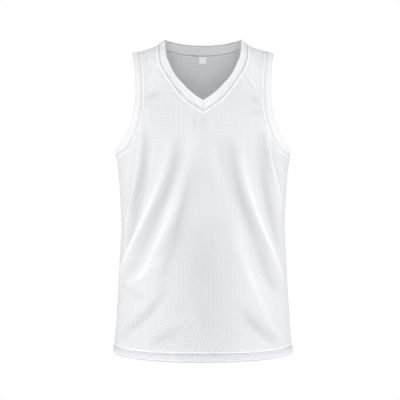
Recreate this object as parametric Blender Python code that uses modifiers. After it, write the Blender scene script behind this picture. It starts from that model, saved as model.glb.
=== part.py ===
# A sleeveless V-neck basketball jersey, filled out as if worn: front and back panels, a neckband, two
# armhole bands, a turned-up hem and a small neck label, each one a cloth wall round an open hollow.
#
# Metres, +Z up. The front faces -Y and the wearer's left is +X. The origin lies midway between the
# two points where the shoulder seams meet the neck, which is where the wearer's shoulders carry it.
#
# Every piece lies on one general form. A place on that form is given by "around", the angle from the
# centre line (0) to the side (a quarter turn), and "down", which is 0 on the shoulder line and 1 at
# the hem. FRONT or BACK says on which half of the form the place is.

import math

import bmesh
import bpy
import numpy as np

FRONT = -1
BACK = 1

PANEL_WALL = 0.0016  # single cloth
BAND_WALL = 0.0024  # folded cloth of the bands and the hem
LABEL_WALL = 0.0010
BAND_PROUD = 0.0004  # how far the bands stand out from the panels beside them
GAP = 0.0003  # between neighbouring pieces at a seam

HEM = -0.745  # height of the hem's lower edge
HEM_DEPTH = 0.0195  # height of the turned-up stretch
NECK_BREADTH = 0.0886  # half the neck opening, on the shoulder line
NECK_RISE = 0.034  # height of the form's neck over the shoulder line's neck end
SHOULDER_SLOPE = 0.29  # fall of the shoulder line at its outer end
SHOULDER_EASE = 0.022  # distance in which the neck's slope dies out
SHOULDER_ROUND = 0.19  # height over which the form rounds over from the chest to the shoulder
PULL = 0.0008  # how far the panels stop short of the shoulder line, in "down"

LABEL_BREADTH = 0.0093  # half the label's width
LABEL_TOP = -0.0285
LABEL_DROP = 0.0155
LABEL_CLEAR = 0.0012  # between the label and the panel's inner face
LABEL_COLUMNS = 3
LABEL_ROWS = 2

# How each panel is divided: quads from the centre line to the side; rows up to the underarm; rows
# from there to the foot of the neckline, and the share of the armhole that they take up; rows along
# the neckline.
UNDERARM_CLOSER = 1.35  # power that sets these rows closer where the armhole bends under the arm
DIVISIONS = {
    FRONT: {"columns": 15, "body": 18, "chest": 5, "chest_share": 0.36, "neck": 11},
    BACK: {"columns": 14, "body": 18, "chest": 9, "chest_share": 0.80, "neck": 6},
}

# The form's horizontal sections, from the hem up. The half width above the underarm, at -0.263, is
# that of the form behind the armholes. A squareness of 2 is an ellipse.
SECTION_COLUMNS = ("height", "half_width", "front_depth", "back_depth", "squareness")
SECTIONS = (
    (-0.745, 0.2156, 0.1300, 0.1240, 2.00),
    (-0.660, 0.2086, 0.1240, 0.1170, 2.04),
    (-0.590, 0.2040, 0.1195, 0.1110, 2.10),
    (-0.520, 0.2002, 0.1165, 0.1055, 2.15),
    (-0.450, 0.1962, 0.1150, 0.1030, 2.20),
    (-0.380, 0.1980, 0.1175, 0.1055, 2.25),
    (-0.320, 0.2016, 0.1225, 0.1100, 2.30),
    (-0.263, 0.2084, 0.1250, 0.1130, 2.30),
    (-0.210, 0.2125, 0.1230, 0.1140, 2.30),
    (-0.150, 0.2140, 0.1120, 0.1130, 2.30),
    (-0.090, 0.2130, 0.1050, 0.1080, 2.30),
    (-0.030, 0.2100, 0.1020, 0.1030, 2.30),
    (0.040, 0.2050, 0.1000, 0.1000, 2.30),
)

# Outlines. A None height is the shoulder line, and a None breadth is the side.
OUTLINE_COLUMNS = ("edge_breadth", "edge_height", "seam_breadth", "seam_height")
FRONT_NECK = (
    (0.0000, -0.1491, 0.0000, -0.1752),
    (0.0235, -0.1330, 0.0370, -0.1500),
    (0.0430, -0.1145, 0.0570, -0.1285),
    (0.0630, -0.0905, 0.0760, -0.1010),
    (0.0770, -0.0620, 0.0915, -0.0750),
    (0.0855, -0.0320, 0.1010, -0.0440),
    (0.0886, None, 0.1055, None),
)
BACK_NECK = (
    (0.0000, -0.0050, 0.0000, -0.0273),
    (0.0300, -0.0045, 0.0335, -0.0265),
    (0.0584, -0.0025, 0.0660, -0.0230),
    (0.0800, 0.0000, 0.0930, -0.0165),
    (0.0886, None, 0.1055, None),
)
FRONT_ARMHOLE = (
    (None, -0.2634, None, -0.2810),
    (0.1965, -0.2530, 0.1860, -0.2670),
    (0.1833, -0.2366, 0.1675, -0.2470),
    (0.1678, -0.2095, 0.1510, -0.2140),
    (0.1585, -0.1680, 0.1408, -0.1710),
    (0.1555, -0.1200, 0.1392, -0.1200),
    (0.1607, -0.0670, 0.1435, -0.0700),
    (0.1676, None, 0.1490, None),
)
BACK_ARMHOLE = (
    (None, -0.2634, None, -0.2810),
    (0.1975, -0.2530, 0.1870, -0.2670),
    (0.1850, -0.2366, 0.1690, -0.2470),
    (0.1700, -0.2095, 0.1530, -0.2140),
    (0.1620, -0.1680, 0.1442, -0.1710),
    (0.1600, -0.1200, 0.1430, -0.1200),
    (0.1630, -0.0670, 0.1455, -0.0700),
    (0.1676, None, 0.1490, None),
)
NECKS = {FRONT: FRONT_NECK, BACK: BACK_NECK}
ARMHOLES = {FRONT: FRONT_ARMHOLE, BACK: BACK_ARMHOLE}

# The largest folds, which fan out from the chest. Each row is the angles round the body of its top
# and its foot, in degrees from the centre line and positive towards the wearer's left; the heights of
# both; then half its width, and its depth, negative for a trough.
CREASE_RADIUS = 0.16  # turns angles round the body into distances over the cloth
CREASE_BOW = 1.7  # a fold swings out as this power of its fall: slowly at first, then faster
CREASE_COLUMNS = ("half", "top", "foot", "from_height", "to_height", "half_width", "depth")
CREASES = (
    (FRONT, -5, -46, -0.21, -0.57, 0.014, 0.0060),
    (FRONT, -17, -82, -0.23, -0.57, 0.014, 0.0060),
    (FRONT, -38, -72, -0.21, -0.46, 0.012, 0.0045),
    (FRONT, -12, -64, -0.23, -0.57, 0.014, -0.0045),
    (FRONT, -34, -66, -0.21, -0.49, 0.014, -0.0050),
    (FRONT, -8, -30, -0.26, -0.60, 0.017, -0.0040),
    (FRONT, -23, -66, -0.57, -0.70, 0.015, -0.0045),
    (FRONT, 19, 72, -0.23, -0.58, 0.014, 0.0060),
    (FRONT, 39, 72, -0.20, -0.41, 0.012, 0.0045),
    (FRONT, 20, 48, -0.42, -0.66, 0.016, 0.0045),
    (FRONT, 14, 58, -0.23, -0.59, 0.014, -0.0045),
    (FRONT, 35, 68, -0.22, -0.50, 0.014, -0.0050),
    (FRONT, 25, 56, -0.60, -0.70, 0.015, -0.0045),
    (BACK, -13, -50, -0.20, -0.60, 0.018, 0.0055),
    (BACK, -40, -80, -0.25, -0.53, 0.014, 0.0045),
    (BACK, -24, -66, -0.32, -0.64, 0.018, -0.0050),
    (BACK, 12, 48, -0.20, -0.62, 0.018, 0.0055),
    (BACK, 44, 80, -0.24, -0.50, 0.014, 0.0045),
    (BACK, 28, 68, -0.30, -0.62, 0.018, -0.0050),
)

# Materials: colour and roughness.
MESH_KNIT = ((0.84, 0.85, 0.87), 0.78)
BAND_KNIT = ((0.86, 0.87, 0.88), 0.72)
LABEL_WEAVE = ((0.90, 0.90, 0.90), 0.60)

FORM_STEP = 1e-4  # length of the short steps that measure the form's slope
CURVE_STEPS = 24  # short legs in each span of a traced outline
WELD = 2e-5  # points of neighbouring grids closer than this are one


def columns(table, names):
    """The table as one array for each named column. An entry left open becomes NaN."""
    rows = np.array(table, float)
    return {name: rows[:, i] for i, name in enumerate(names)}


SECTION = columns(SECTIONS, SECTION_COLUMNS)


def smooth(at, knots, values):
    """A cubic curve through the knots, with each slope taken from the knots beside it."""
    slopes = np.gradient(values, knots)
    i = np.clip(np.searchsorted(knots, at) - 1, 0, len(knots) - 2)
    step = knots[i + 1] - knots[i]
    t = np.clip((at - knots[i]) / step, 0.0, 1.0)
    start = (1 + 2 * t) * (1 - t) ** 2 * values[i] + t * (1 - t) ** 2 * step * slopes[i]
    end = t * t * (3 - 2 * t) * values[i + 1] - t * t * (1 - t) * step * slopes[i + 1]
    return start + end


def section(name, height):
    return smooth(height, SECTION["height"], SECTION[name])


def signed_power(value, power):
    return np.sign(value) * np.abs(value) ** power


def shoulder_line(breadth):
    """Height of the form's top at this distance from the middle: a parabola up to the neck's side,
    then a fall whose slope eases from the parabola's to that of the shoulder."""
    out = np.abs(breadth) - NECK_BREADTH
    neck = NECK_RISE * (1 - (breadth / NECK_BREADTH) ** 2)
    steep = 2 * NECK_RISE / NECK_BREADTH - SHOULDER_SLOPE
    eased = steep * SHOULDER_EASE * (1 - np.exp(-np.maximum(out, 0) / SHOULDER_EASE))
    return np.where(out < 0, neck, -SHOULDER_SLOPE * out - eased)


def form(half, around, down):
    """The point on the form: a superellipse section at each height, whose depth shrinks over the
    shoulders as a quarter circle does."""
    height = HEM * down**2
    for _ in range(6):
        power = 2 / section("squareness", height)
        breadth = section("half_width", height) * signed_power(np.sin(around), power)
        line = shoulder_line(breadth)
        height = line + down**2 * (HEM - line)
    turned = np.arccos(np.clip(1 - (line - height) / SHOULDER_ROUND, 0, 1))
    front = half * np.sign(down + 1e-12) < 0
    depth = np.where(front, section("front_depth", height), section("back_depth", height))
    reach = half * np.sign(down + 1e-12) * np.sin(turned)
    return np.stack([breadth, reach * depth * signed_power(np.cos(around), power), height], -1)


def locate(breadth, height):
    """The place ("around", "down") on the form of a point seen from the front or the back."""
    line = shoulder_line(np.where(np.isnan(breadth), 0, breadth))
    height = np.where(np.isnan(height), line, height)
    width = section("half_width", height)
    breadth = np.where(np.isnan(breadth), width, breadth)
    line = shoulder_line(breadth)
    share = np.clip(breadth / width, 0, 1)
    around = np.arcsin(share ** (section("squareness", height) / 2))
    return around, np.sqrt(np.maximum(line - height, 0) / (line - HEM))


def outward(half, around, down):
    """The form's unit normal, from two short steps over it."""
    across = form(half, around + FORM_STEP, down) - form(half, around - FORM_STEP, down)
    along = form(half, around, down + FORM_STEP) - form(half, around, down - FORM_STEP)
    normal = np.cross(across, along) * half
    return normal / np.linalg.norm(normal, axis=-1, keepdims=True)


def crease_height(half, around, height):
    """How far the cloth stands off the form here: each fold is a bell curve across its own path,
    whose angle grows as a power of its fall, and it fades out at both ends."""
    total = np.zeros_like(height)
    for row in CREASES:
        fold = dict(zip(CREASE_COLUMNS, row))
        if fold["half"] != half:
            continue
        length = fold["from_height"] - fold["to_height"]
        t = np.clip((fold["from_height"] - height) / length, 0, 1)
        top, foot = math.radians(fold["top"]), math.radians(fold["foot"])
        path = top + (foot - top) * t**CREASE_BOW
        lean = math.atan2(abs(foot - top) * CREASE_RADIUS, length)
        away = (around - path) * CREASE_RADIUS * math.cos(lean) / fold["half_width"]
        total += fold["depth"] * np.exp(-(away**2)) * np.sin(math.pi * t)
    return total


def cloth(half, around, down, lift):
    """Points on the form with its folds, moved out by lift."""
    base = form(half, around, down)
    height = crease_height(half, around, base[..., 2]) + lift
    return base + outward(half, around, down) * height[..., None]


def trace(half, table, names, fractions):
    """An outline as places on the form, at these fractions of its length: a smooth curve through the
    table's points, which goes straight over the shoulder and straight across the side and the centre
    back, and comes to a point only at the V of the front neckline."""
    outline = columns(table, OUTLINE_COLUMNS)
    around, down = locate(outline[names[0]], outline[names[1]])
    before = [-around[1], down[1]]
    if around[0] > 1:
        before = [math.pi - around[1], down[1]]
    elif half == FRONT:
        before = [2 * around[0] - around[1], 2 * down[0] - down[1]]
    after = [around[-2], -down[-2]]
    knots = np.array([before, *np.stack([around, down], 1), after])
    t = np.linspace(0, 1, CURVE_STEPS + 1)[:-1, None]
    fine = [
        ((-t + 2 * t**2 - t**3) * a + (2 - 5 * t**2 + 3 * t**3) * b
         + (t + 4 * t**2 - 3 * t**3) * c + (t**3 - t**2) * d) / 2
        for a, b, c, d in zip(knots, knots[1:], knots[2:], knots[3:])
    ]
    fine = np.concatenate([*fine, knots[-2:-1]])
    points = form(half, fine[:, 0], fine[:, 1])
    run = np.concatenate([[0], np.cumsum(np.linalg.norm(np.diff(points, axis=0), axis=1))])
    return np.stack([np.interp(fractions * run[-1], run, fine[:, i]) for i in (0, 1)])


def blend(first, second, share):
    """Places between two matched lists of places, one row for each share."""
    share = np.asarray(share)[:, None]
    return [(1 - share) * a + share * b for a, b in zip(first, second)]


def side_place(half, height):
    """The place beside the side seam at this height, half the seam's gap away from it."""
    around, down = locate(np.full_like(height, np.nan), height)
    depth = section("front_depth" if half == FRONT else "back_depth", height)
    turn = np.arccos((GAP / 2 / depth) ** (section("squareness", height) / 2))
    return np.stack([np.minimum(around, turn), down])


def armhole_shares(half):
    """Where along the armhole the panel's rows end, as shares of its length from the underarm."""
    parts = DIVISIONS[half]
    low = parts["chest_share"] * np.linspace(0, 1, parts["chest"] + 1) ** UNDERARM_CLOSER
    high = np.linspace(parts["chest_share"], 1, parts["neck"] + 1)
    return np.concatenate([low[:-1], high])


def neck_shares(half):
    return np.linspace(0, 1, DIVISIONS[half]["neck"] + 1)


def panel_edges(half):
    """The inner and outer edges of half a panel as matched places, from the hem's seam up."""
    parts = DIVISIONS[half]
    underarm = ARMHOLES[half][0][3]
    neck_foot = NECKS[half][0][3]
    body = np.linspace(HEM + HEM_DEPTH, underarm, parts["body"] + 1)
    chest = np.linspace(underarm, neck_foot, parts["chest"] + 1)
    centre = np.concatenate([body[:-1], chest[:-1]])
    seam = ("seam_breadth", "seam_height")
    neckline = trace(half, NECKS[half], seam, neck_shares(half))
    armhole = trace(half, ARMHOLES[half], seam, armhole_shares(half))
    side = side_place(half, body)
    armhole[0] = np.minimum(armhole[0], side[0, -1])
    inner = np.concatenate([np.stack(locate(np.zeros_like(centre), centre)), neckline], axis=1)
    outer = np.concatenate([side[:, :-1], armhole], axis=1)
    inner[1] = np.maximum(inner[1], PULL)
    outer[1] = np.maximum(outer[1], PULL)
    return inner, outer


def wall(name, grids, thickness, material, collection):
    """One closed cloth wall from grids of points: faces that look outwards, joined where the grids
    meet, and thickened outwards."""
    bm = bmesh.new()
    for points in grids:
        verts = [[bm.verts.new(p) for p in row] for row in points]
        facing = np.cross(points[1:, :-1] - points[:-1, :-1], points[:-1, 1:] - points[:-1, :-1])
        middle = points[:-1, :-1] * (1, 1, 0)
        turned = (facing * middle).sum() < 0
        for low, high in zip(verts, verts[1:]):
            for i in range(len(low) - 1):
                corners = [low[i], high[i], high[i + 1], low[i + 1]]
                bm.faces.new(corners[::-1] if turned else corners)
    bmesh.ops.remove_doubles(bm, verts=bm.verts, dist=WELD)
    mesh = bpy.data.meshes.new(name)
    bm.to_mesh(mesh)
    bm.free()
    mesh.shade_smooth()
    mesh.materials.append(material)
    piece = bpy.data.objects.new(name, mesh)
    collection.objects.link(piece)
    solidify = piece.modifiers.new("cloth wall", "SOLIDIFY")
    solidify.thickness = thickness
    solidify.offset = 1.0
    return piece


def plain_material(name, colour, roughness):
    material = bpy.data.materials.new(name)
    material.use_nodes = True
    shader = material.node_tree.nodes["Principled BSDF"]
    shader.inputs["Base Color"].default_value = (*colour, 1)
    shader.inputs["Roughness"].default_value = roughness
    shader.inputs["Metallic"].default_value = 0.0
    return material


def both_sides(half, places, lift):
    """The grid of points for the wearer's left, and the one for the right with its own folds."""
    around, down = places
    return [cloth(half, around, down, lift), cloth(half, -around, down, lift)]


def make_panel(name, half, material, collection):
    inner, outer = panel_edges(half)
    shares = np.linspace(0, 1, DIVISIONS[half]["columns"] + 1)
    grids = both_sides(half, blend(inner, outer, shares), -PANEL_WALL)
    return wall(name, grids, PANEL_WALL, material, collection)


def band_places(half, table, fractions):
    """Places across a band, from the edge of its opening to just short of its seam."""
    edge = trace(half, table, ("edge_breadth", "edge_height"), fractions)
    seam = trace(half, table, ("seam_breadth", "seam_height"), fractions)
    width = np.linalg.norm(form(half, *edge) - form(half, *seam), axis=-1)
    reach = 1 - GAP / width
    return [np.stack([a, a + (b - a) * reach]) for a, b in zip(edge, seam)]


def make_neckband(material, collection):
    grids = []
    for half in (FRONT, BACK):
        places = band_places(half, NECKS[half], neck_shares(half))
        grids += both_sides(half, places, BAND_PROUD - BAND_WALL)
    return wall("neckband", grids, BAND_WALL, material, collection)


def make_armband(name, side, material, collection):
    grids = []
    for half in (FRONT, BACK):
        around, down = band_places(half, ARMHOLES[half], armhole_shares(half))
        grids.append(cloth(half, side * around, down, BAND_PROUD - BAND_WALL))
    return wall(name, grids, BAND_WALL, material, collection)


def make_hem(material, collection):
    grids = []
    heights = np.array([HEM + HEM_DEPTH - GAP, HEM])
    for half in (FRONT, BACK):
        centre = np.stack(locate(np.zeros(2), heights))
        side = np.stack(locate(np.full(2, np.nan), heights))
        shares = np.linspace(0, 1, DIVISIONS[half]["columns"] + 1)
        grids += both_sides(half, blend(centre, side, shares), BAND_PROUD - BAND_WALL)
    return wall("hem_band", grids, BAND_WALL, material, collection)


def make_label(material, collection):
    across = np.linspace(-LABEL_BREADTH, LABEL_BREADTH, LABEL_COLUMNS + 1)
    drop = LABEL_DROP * np.linspace(0, 1, LABEL_ROWS + 1)
    breadths, heights = np.meshgrid(across, LABEL_TOP - drop)
    around, down = locate(np.abs(breadths), heights)
    around = around * np.sign(breadths)
    points = cloth(BACK, around, down, -PANEL_WALL - LABEL_CLEAR - LABEL_WALL)
    return wall("neck_label", [points], LABEL_WALL, material, collection)


def main():
    for old in list(bpy.data.objects):
        bpy.data.objects.remove(old, do_unlink=True)
    jersey = bpy.data.collections.new("basketball jersey")
    bpy.context.scene.collection.children.link(jersey)
    knit = plain_material("jersey knit", *MESH_KNIT)
    band = plain_material("band knit", *BAND_KNIT)
    label = plain_material("label weave", *LABEL_WEAVE)
    make_panel("front_panel", FRONT, knit, jersey)
    make_panel("back_panel", BACK, knit, jersey)
    make_neckband(band, jersey)
    make_armband("armband_left", 1, band, jersey)
    make_armband("armband_right", -1, band, jersey)
    make_hem(band, jersey)
    make_label(label, jersey)


main()
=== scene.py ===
# A white sleeveless V-neck basketball jersey in eyelet mesh, filled out round an open hollow, with
# folded bands round its neck and armholes, a turned-up hem and a small blank label.
# Metres, +Z up. The front faces -Y and the wearer's left is +X.
import math

import bmesh
import bpy
import numpy as np
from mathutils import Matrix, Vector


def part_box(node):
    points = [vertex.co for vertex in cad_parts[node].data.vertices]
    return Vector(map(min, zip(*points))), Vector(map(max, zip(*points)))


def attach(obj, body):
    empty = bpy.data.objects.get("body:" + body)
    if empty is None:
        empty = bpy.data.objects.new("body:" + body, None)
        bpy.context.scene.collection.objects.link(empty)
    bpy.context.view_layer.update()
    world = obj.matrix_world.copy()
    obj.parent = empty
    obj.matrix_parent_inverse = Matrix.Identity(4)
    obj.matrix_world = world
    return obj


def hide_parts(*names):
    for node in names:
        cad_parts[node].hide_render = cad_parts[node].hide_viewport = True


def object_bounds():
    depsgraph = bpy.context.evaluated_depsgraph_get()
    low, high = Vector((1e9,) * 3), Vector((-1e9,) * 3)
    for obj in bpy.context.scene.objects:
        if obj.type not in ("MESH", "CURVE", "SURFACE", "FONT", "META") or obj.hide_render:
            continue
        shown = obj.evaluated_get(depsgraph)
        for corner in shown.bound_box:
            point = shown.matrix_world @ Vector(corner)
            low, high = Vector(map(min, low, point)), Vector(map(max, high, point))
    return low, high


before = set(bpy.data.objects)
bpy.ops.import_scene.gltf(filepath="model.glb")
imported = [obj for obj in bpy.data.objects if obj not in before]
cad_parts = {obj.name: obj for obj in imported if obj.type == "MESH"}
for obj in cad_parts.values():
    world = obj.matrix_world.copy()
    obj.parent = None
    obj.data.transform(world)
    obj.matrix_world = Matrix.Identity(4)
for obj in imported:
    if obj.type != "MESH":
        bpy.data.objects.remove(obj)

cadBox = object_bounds()
front, back = -1, 1
left, right = 1, -1

# The form that every piece lies on. A place on it is "around", the angle from the centre line to
# the side, and "down", 0 on the shoulder line and 1 at the hem.
figure = {
    "hem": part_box("hem_band")[0][2],
    "neckHalf": 0.0886,  # half the neck opening, on the shoulder line
    "neckRise": 0.034,  # height of the form's neck over the shoulder line's neck end
    "shoulderSlope": 0.29,
    "shoulderEase": 0.022,
    "shoulderRound": 0.19,  # height over which the chest rounds over to the shoulder
}

# Sections of the form: height, half width, front depth, back depth, squareness (2 is an ellipse).
sectionTable = np.array([
    (-0.745, 0.2156, 0.1300, 0.1240, 2.00),
    (-0.660, 0.2086, 0.1240, 0.1170, 2.04),
    (-0.590, 0.2040, 0.1195, 0.1110, 2.10),
    (-0.520, 0.2002, 0.1165, 0.1055, 2.15),
    (-0.450, 0.1962, 0.1150, 0.1030, 2.20),
    (-0.380, 0.1980, 0.1175, 0.1055, 2.25),
    (-0.320, 0.2016, 0.1225, 0.1100, 2.30),
    (-0.263, 0.2084, 0.1250, 0.1130, 2.30),
    (-0.210, 0.2125, 0.1230, 0.1140, 2.30),
    (-0.150, 0.2140, 0.1120, 0.1130, 2.30),
    (-0.090, 0.2130, 0.1050, 0.1080, 2.30),
    (-0.030, 0.2100, 0.1020, 0.1030, 2.30),
    (0.040, 0.2050, 0.1000, 0.1000, 2.30),
])
sections = dict(zip(("height", "halfWidth", "frontDepth", "backDepth", "squareness"), sectionTable.T))

# Outlines from the centre or the underarm up to the shoulder: the band's edge (breadth, height),
# then its seam (breadth, height). A nan height is the shoulder line, and a nan breadth is the side.
nan = math.nan
necklines = {
    front: np.array([
        (0.0000, -0.1491, 0.0000, -0.1752),
        (0.0235, -0.1330, 0.0370, -0.1500),
        (0.0430, -0.1145, 0.0570, -0.1285),
        (0.0630, -0.0905, 0.0760, -0.1010),
        (0.0770, -0.0620, 0.0915, -0.0750),
        (0.0855, -0.0320, 0.1010, -0.0440),
        (0.0886, nan, 0.1055, nan),
    ]),
    back: np.array([
        (0.0000, -0.0050, 0.0000, -0.0273),
        (0.0300, -0.0045, 0.0335, -0.0265),
        (0.0584, -0.0025, 0.0660, -0.0230),
        (0.0800, 0.0000, 0.0930, -0.0165),
        (0.0886, nan, 0.1055, nan),
    ]),
}
armholes = {
    front: np.array([
        (nan, -0.2634, nan, -0.2810),
        (0.1965, -0.2530, 0.1860, -0.2670),
        (0.1833, -0.2366, 0.1675, -0.2470),
        (0.1678, -0.2095, 0.1510, -0.2140),
        (0.1585, -0.1680, 0.1408, -0.1710),
        (0.1555, -0.1200, 0.1392, -0.1200),
        (0.1607, -0.0670, 0.1435, -0.0700),
        (0.1676, nan, 0.1490, nan),
    ]),
    back: np.array([
        (nan, -0.2634, nan, -0.2810),
        (0.1975, -0.2530, 0.1870, -0.2670),
        (0.1850, -0.2366, 0.1690, -0.2470),
        (0.1700, -0.2095, 0.1530, -0.2140),
        (0.1620, -0.1680, 0.1442, -0.1710),
        (0.1600, -0.1200, 0.1430, -0.1200),
        (0.1630, -0.0670, 0.1455, -0.0700),
        (0.1676, nan, 0.1490, nan),
    ]),
}

# The long folds fan out from the chest. Each row is its top and its foot, as degrees round the body,
# positive to the wearer's left, and heights; then half its width, and its depth, negative for a trough.
foldRadius = 0.16  # turns angles round the body into distances
foldBow = 1.7  # a fold swings out as this power of its fall: slowly at first, then faster
foldSkew = 0.12  # how much steeper a fold falls towards the centre line than towards the side
longFolds = {
    front: [
        (-5, -0.21, -46, -0.57, 0.0100, 0.0062),
        (-26, -0.50, -66, -0.58, 0.0130, 0.0036),
        (-17, -0.23, -82, -0.57, 0.0092, 0.0070),
        (-38, -0.21, -72, -0.46, 0.0060, 0.0062),
        (-52, -0.26, -66, -0.34, 0.0040, 0.0018),
        (-28, -0.24, -37, -0.33, 0.0045, 0.0014),
        (-12, -0.23, -64, -0.57, 0.0150, -0.0052),
        (-34, -0.21, -66, -0.49, 0.0150, -0.0066),
        (-8, -0.26, -30, -0.60, 0.0130, -0.0042),
        (-23, -0.57, -66, -0.70, 0.0085, -0.0050),
        (-41, -0.61, -72, -0.58, 0.0080, -0.0026),
        (-15, -0.66, -36, -0.71, 0.0100, -0.0034),
        (19, -0.23, 72, -0.58, 0.0088, 0.0070),
        (39, -0.20, 72, -0.41, 0.0056, 0.0060),
        (53, -0.26, 76, -0.35, 0.0038, 0.0016),
        (4, -0.23, 10, -0.37, 0.0080, 0.0012),
        (20, -0.42, 48, -0.66, 0.0105, 0.0044),
        (44, -0.64, 68, -0.71, 0.0060, 0.0026),
        (14, -0.23, 58, -0.59, 0.0150, -0.0052),
        (38, -0.49, 60, -0.60, 0.0135, -0.0034),
        (35, -0.22, 68, -0.50, 0.0150, -0.0066),
        (25, -0.62, 56, -0.71, 0.0115, -0.0056),
        (46, -0.23, 67, -0.36, 0.0040, -0.0020),
        (6, -0.23, 14, -0.34, 0.0042, -0.0013),
        (0, -0.22, 0, -0.58, 0.0450, -0.0016),
        (0, -0.42, 4, -0.80, 0.0520, -0.0042),
    ],
    back: [
        (-13, -0.20, -50, -0.60, 0.0110, 0.0068),
        (-40, -0.25, -80, -0.53, 0.0090, 0.0060),
        (-24, -0.32, -66, -0.64, 0.0120, -0.0066),
        (-5, -0.24, -24, -0.59, 0.0140, -0.0036),
        (-24, -0.60, -64, -0.71, 0.0100, -0.0055),
        (12, -0.20, 48, -0.62, 0.0110, 0.0068),
        (44, -0.24, 80, -0.50, 0.0090, 0.0060),
        (28, -0.30, 68, -0.62, 0.0120, -0.0066),
        (24, -0.62, 60, -0.71, 0.0100, -0.0055),
    ],
}

# Short wrinkles beside the armholes and under the V: breadth and height of both ends, half the
# width across, and the depth.
shortWrinkles = {
    front: [
        (-0.128, -0.146, -0.094, -0.124, 0.0042, -0.0036),
        (-0.130, -0.116, -0.096, -0.062, 0.0034, 0.0022),
        (-0.128, -0.136, -0.092, -0.094, 0.0036, 0.0026),
        (-0.126, -0.126, -0.106, -0.100, 0.0026, -0.0016),
        (-0.126, -0.046, -0.100, -0.072, 0.0030, 0.0014),
        (-0.126, -0.060, -0.108, -0.034, 0.0028, 0.0014),
        (-0.124, -0.090, -0.110, -0.066, 0.0028, -0.0014),
        (-0.128, -0.158, -0.118, -0.218, 0.0040, 0.0018),
        (0.128, -0.152, 0.106, -0.140, 0.0036, -0.0034),
        (0.128, -0.178, 0.108, -0.174, 0.0030, -0.0030),
        (0.128, -0.136, 0.100, -0.100, 0.0034, 0.0026),
        (0.124, -0.124, 0.090, -0.074, 0.0032, 0.0020),
        (0.114, -0.128, 0.094, -0.094, 0.0026, -0.0014),
        (0.124, -0.084, 0.102, -0.044, 0.0030, 0.0016),
        (-0.026, -0.190, -0.036, -0.238, 0.0042, 0.0018),
        (-0.016, -0.178, -0.024, -0.220, 0.0042, -0.0014),
        (0.000, -0.182, 0.000, -0.224, 0.0055, -0.0016),
        (0.016, -0.180, 0.024, -0.224, 0.0045, 0.0016),
        (-0.108, -0.020, -0.112, -0.130, 0.0260, 0.0034),
        (0.108, -0.020, 0.112, -0.130, 0.0260, 0.0034),
    ],
    back: [
        (-0.130, -0.140, -0.098, -0.112, 0.0042, -0.0030),
        (-0.134, -0.108, -0.108, -0.070, 0.0036, 0.0022),
        (-0.132, -0.070, -0.116, -0.046, 0.0030, -0.0014),
        (0.131, -0.150, 0.100, -0.120, 0.0042, -0.0030),
        (0.134, -0.112, 0.108, -0.076, 0.0036, 0.0022),
        (0.133, -0.074, 0.118, -0.048, 0.0030, -0.0014),
    ],
}


def through(at, knots, values):
    # a cubic through the knots: each span's ends keep the slopes taken from the knots beside them
    slopes = np.gradient(values, knots)
    i = np.clip(np.searchsorted(knots, at) - 1, 0, len(knots) - 2)
    step = knots[i + 1] - knots[i]
    t = np.clip((at - knots[i]) / step, 0.0, 1.0)
    start = (1 + 2 * t) * (1 - t) ** 2 * values[i] + t * (1 - t) ** 2 * step * slopes[i]
    end = t * t * (3 - 2 * t) * values[i + 1] - t * t * (1 - t) * step * slopes[i + 1]
    return start + end


def section(name, height):
    return through(height, sections["height"], sections[name])


def shoulderLine(breadth):
    # a parabola up to the neck's side, then a fall whose slope eases to the shoulder's
    out = np.abs(breadth) - figure["neckHalf"]
    neck = figure["neckRise"] * (1 - (breadth / figure["neckHalf"]) ** 2)
    steep = 2 * figure["neckRise"] / figure["neckHalf"] - figure["shoulderSlope"]
    ease = figure["shoulderEase"]
    eased = steep * ease * (1 - np.exp(-np.maximum(out, 0) / ease))
    return np.where(out < 0, neck, -figure["shoulderSlope"] * out - eased)


def form(half, around, down):
    # a superellipse at each height, whose depth shrinks over the shoulders as a quarter circle does
    height = figure["hem"] * down**2
    for _ in range(6):
        power = 2 / section("squareness", height)
        sine = np.sin(around)
        breadth = section("halfWidth", height) * np.sign(sine) * np.abs(sine) ** power
        line = shoulderLine(breadth)
        height = line + down**2 * (figure["hem"] - line)
    turned = np.arccos(np.clip(1 - (line - height) / figure["shoulderRound"], 0, 1))
    facing = half * np.sign(down + 1e-12)
    depth = np.where(facing < 0, section("frontDepth", height), section("backDepth", height))
    cosine = np.cos(around)
    reach = facing * np.sin(turned) * depth * np.sign(cosine) * np.abs(cosine) ** power
    return np.stack([breadth, reach, height], -1)


def locate(breadth, height):
    # the place on the form of a point seen from the front or the back: form() solved backwards
    line = shoulderLine(np.where(np.isnan(breadth), 0, breadth))
    height = np.where(np.isnan(height), line, height)
    width = section("halfWidth", height)
    breadth = np.where(np.isnan(breadth), width, breadth)
    line = shoulderLine(breadth)
    share = np.clip(np.abs(breadth) / width, 0, 1)
    around = np.sign(breadth) * np.arcsin(share ** (section("squareness", height) / 2))
    return np.stack([around, np.sqrt(np.maximum(line - height, 0) / (line - figure["hem"]))])


def outward(half, around, down):
    # the form's unit normal: the cross product of two short steps over it
    step = 1e-4
    across = form(half, around + step, down) - form(half, around - step, down)
    along = form(half, around, down + step) - form(half, around, down - step)
    normal = np.cross(across, along) * half
    return normal / np.linalg.norm(normal, axis=-1, keepdims=True)


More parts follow.
